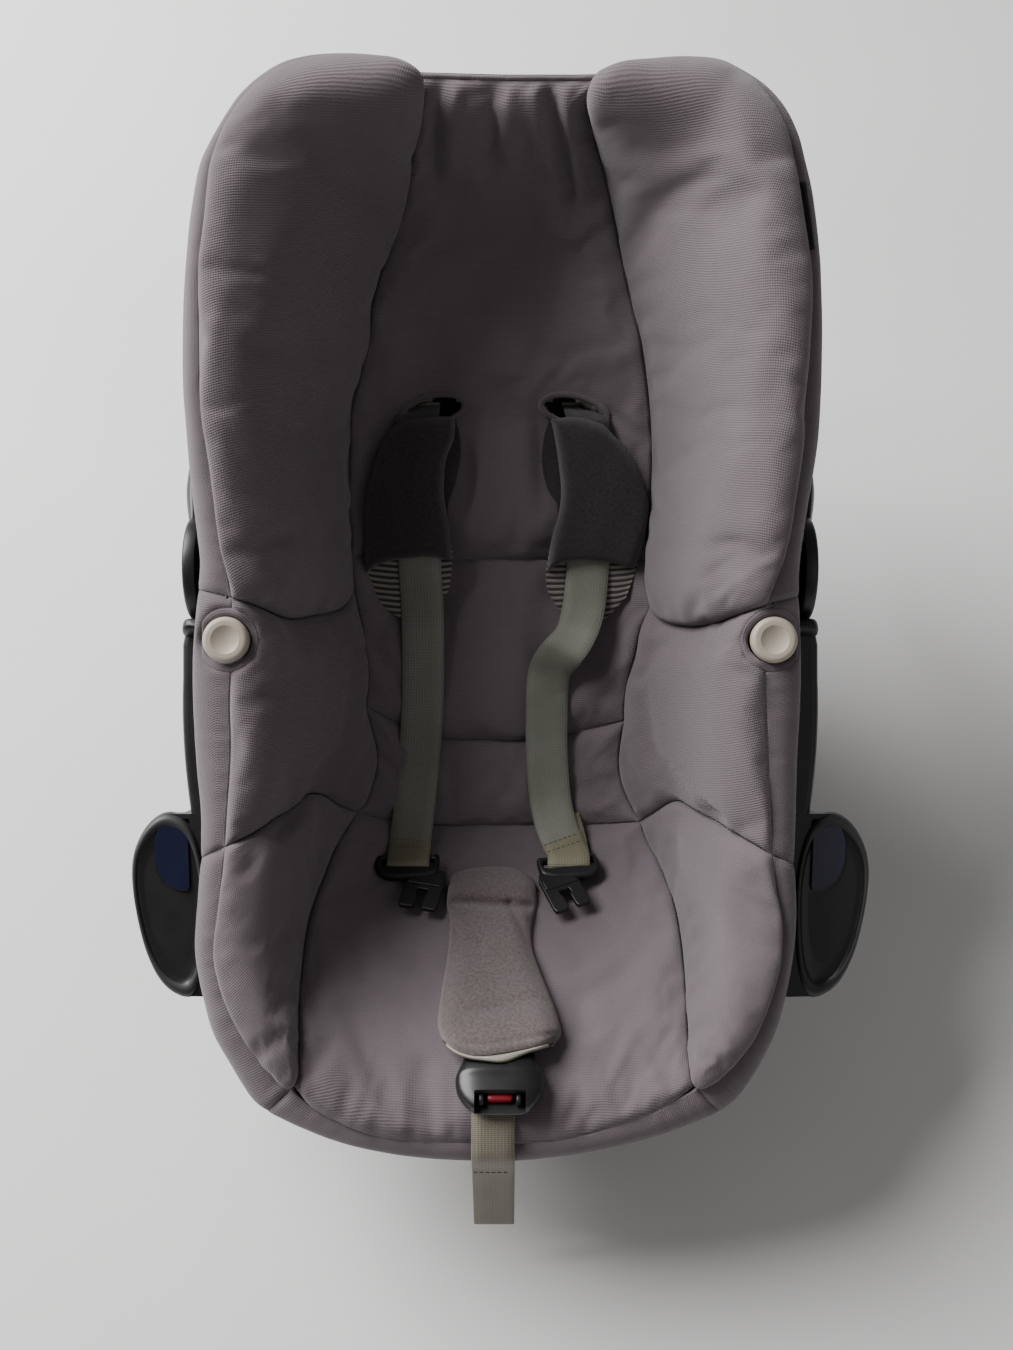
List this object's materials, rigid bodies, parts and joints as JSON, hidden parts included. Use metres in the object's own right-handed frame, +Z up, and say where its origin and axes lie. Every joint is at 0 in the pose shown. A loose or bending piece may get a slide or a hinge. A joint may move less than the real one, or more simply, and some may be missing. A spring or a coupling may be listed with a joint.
{
  "type": "infant car seat",
  "caption": "Rearward-facing infant carrier with padded ribbed cover, shoulder and crotch harness, belt hooks, rocker base and folding carrying handle.",
  "frame": {"origin": "on the floor under the middle of the seat's box", "axes": "+X to the seat's right seen from its foot end, +Y towards the head end, +Z up"},
  "size_m": [0.4406, 0.6775, 0.4468],
  "materials": {
    "shell": "fine moulded grain",
    "hard_black": "satin moulded",
    "cover_fabric": "ribbed weave",
    "foam": "bead foam",
    "knit": "dark knit",
    "crotch_knit": "brown knit",
    "webbing": "woven webbing",
    "blue": "matte moulded",
    "beige": "satin moulded",
    "red": "gloss moulded",
    "rubber": "matte",
    "steel": "plain"
  },
  "bodies": {
    "root": {"outer_shell": "shell", "foam_liner": "foam", "rim_roll": "cover_fabric", "back_pad": "cover_fabric", "seat_pad": "cover_fabric", "belt_guide": "blue", "yoke_plate": "steel", "lower_strap": "webbing", "crotch_anchor": "webbing", "pull_strap": "webbing", "adjuster_housing": "hard_black", "rubber_feet": "rubber", "anchor_rods": "steel", "cover_screws": "steel", "torso_panel_left": "cover_fabric", "torso_panel_right": "cover_fabric", "head_bolster_left": "cover_fabric", "head_bolster_right": "cover_fabric", "thigh_bolster_left": "cover_fabric", "thigh_bolster_right": "cover_fabric", "side_cover_left": "shell", "side_cover_right": "shell", "belt_hook_left": "shell", "belt_hook_right": "shell", "hook_insert_left": "blue", "hook_insert_right": "blue", "pivot_pin_left": "steel", "pivot_pin_right": "steel", "base_runner_left": "shell", "base_runner_right": "shell", "rear_strap_left": "webbing", "rear_strap_right": "webbing", "release_spring_left": "steel", "release_spring_right": "steel"},
    "handle": {"handle_arm_left": "shell", "handle_arm_right": "shell", "handle_grip": "rubber", "handle_spring_left": "steel", "handle_spring_right": "steel"},
    "crotch": {"crotch_strap": "webbing", "crotch_pad": "crotch_knit", "buckle_back": "hard_black", "buckle_front": "hard_black", "buckle_spring": "steel"},
    "buckle_button": {"buckle_button": "red"},
    "adjuster_button": {"adjuster_button": "hard_black"},
    "harness_left": {"shoulder_strap_left": "webbing", "shoulder_pad_left": "knit"},
    "tongue_left": {"tongue_left": "hard_black"},
    "release_button_left": {"release_button_left": "beige"},
    "adapter_latch_left": {"adapter_latch_left": "hard_black"},
    "handle_button_left": {"handle_button_left": "hard_black"},
    "harness_right": {"shoulder_strap_right": "webbing", "shoulder_pad_right": "knit"},
    "tongue_right": {"tongue_right": "hard_black"},
    "release_button_right": {"release_button_right": "beige"},
    "adapter_latch_right": {"adapter_latch_right": "hard_black"},
    "handle_button_right": {"handle_button_right": "hard_black"}
  },
  "joints": [
    {"name": "handle_fold", "type": "hinge", "parent": "root", "child": "handle", "pos_m": [0, 0.00765, 0.25943], "axis": [1, 0, 0], "range_deg": [0, 110]},
    {"name": "crotch_lift", "type": "hinge", "parent": "root", "child": "crotch", "pos_m": [0, -0.12329, 0.09354], "axis": [-1, 0, 0], "range_deg": [0, 75]},
    {"name": "buckle_press", "type": "slide", "parent": "crotch", "child": "buckle_button", "axis": [0, 0.3828, 0.9238], "range_m": [0, 0.0025], "stiffness_N_per_m": 900, "springref_m": -0.002, "deforming": ["buckle_spring"]},
    {"name": "adjuster_press", "type": "slide", "parent": "root", "child": "adjuster_button", "axis": [0, 0.4695, -0.8829], "range_m": [0, 0.004], "stiffness_N_per_m": 700, "springref_m": -0.002},
    {"name": "handle_lock_left", "type": "slide", "parent": "handle", "child": "handle_button_left", "axis": [1, 0, 0], "range_m": [0, 0.004], "stiffness_N_per_m": 900, "springref_m": -0.002, "deforming": ["handle_spring_left"]},
    {"name": "release_press_left", "type": "slide", "parent": "root", "child": "release_button_left", "axis": [0, 0.4695, -0.8829], "range_m": [0, 0.0045], "stiffness_N_per_m": 900, "springref_m": -0.002, "deforming": ["release_spring_left"]},
    {"name": "adapter_latch_slide_left", "type": "slide", "parent": "root", "child": "adapter_latch_left", "axis": [0, 0.8829, 0.4695], "range_m": [0, 0.0036]},
    {"name": "shoulder_lift_left", "type": "hinge", "parent": "root", "child": "harness_left", "pos_m": [0, 0.1299, 0.26383], "axis": [-1, 0, 0], "range_deg": [0, 60]},
    {"name": "tongue_swing_left", "type": "hinge", "parent": "harness_left", "child": "tongue_left", "pos_m": [0, -0.12336, 0.10324], "axis": [-1, 0, 0], "range_deg": [0, 75]},
    {"name": "handle_lock_right", "type": "slide", "parent": "handle", "child": "handle_button_right", "axis": [-1, 0, 0], "range_m": [0, 0.004], "stiffness_N_per_m": 900, "springref_m": -0.002, "deforming": ["handle_spring_right"]},
    {"name": "release_press_right", "type": "slide", "parent": "root", "child": "release_button_right", "axis": [0, 0.4695, -0.8829], "range_m": [0, 0.0045], "stiffness_N_per_m": 900, "springref_m": -0.002, "deforming": ["release_spring_right"]},
    {"name": "adapter_latch_slide_right", "type": "slide", "parent": "root", "child": "adapter_latch_right", "axis": [0, 0.8829, 0.4695], "range_m": [0, 0.0036]},
    {"name": "shoulder_lift_right", "type": "hinge", "parent": "root", "child": "harness_right", "pos_m": [0, 0.1299, 0.26383], "axis": [-1, 0, 0], "range_deg": [0, 60]},
    {"name": "tongue_swing_right", "type": "hinge", "parent": "harness_right", "child": "tongue_right", "pos_m": [0, -0.12336, 0.10324], "axis": [-1, 0, 0], "range_deg": [0, 75]}
  ],
  "couplings": [
    {"joint": "adapter_latch_slide_left", "follows": "release_press_left", "ratio": 0.8},
    {"joint": "adapter_latch_slide_right", "follows": "release_press_right", "ratio": 0.8}
  ]
}
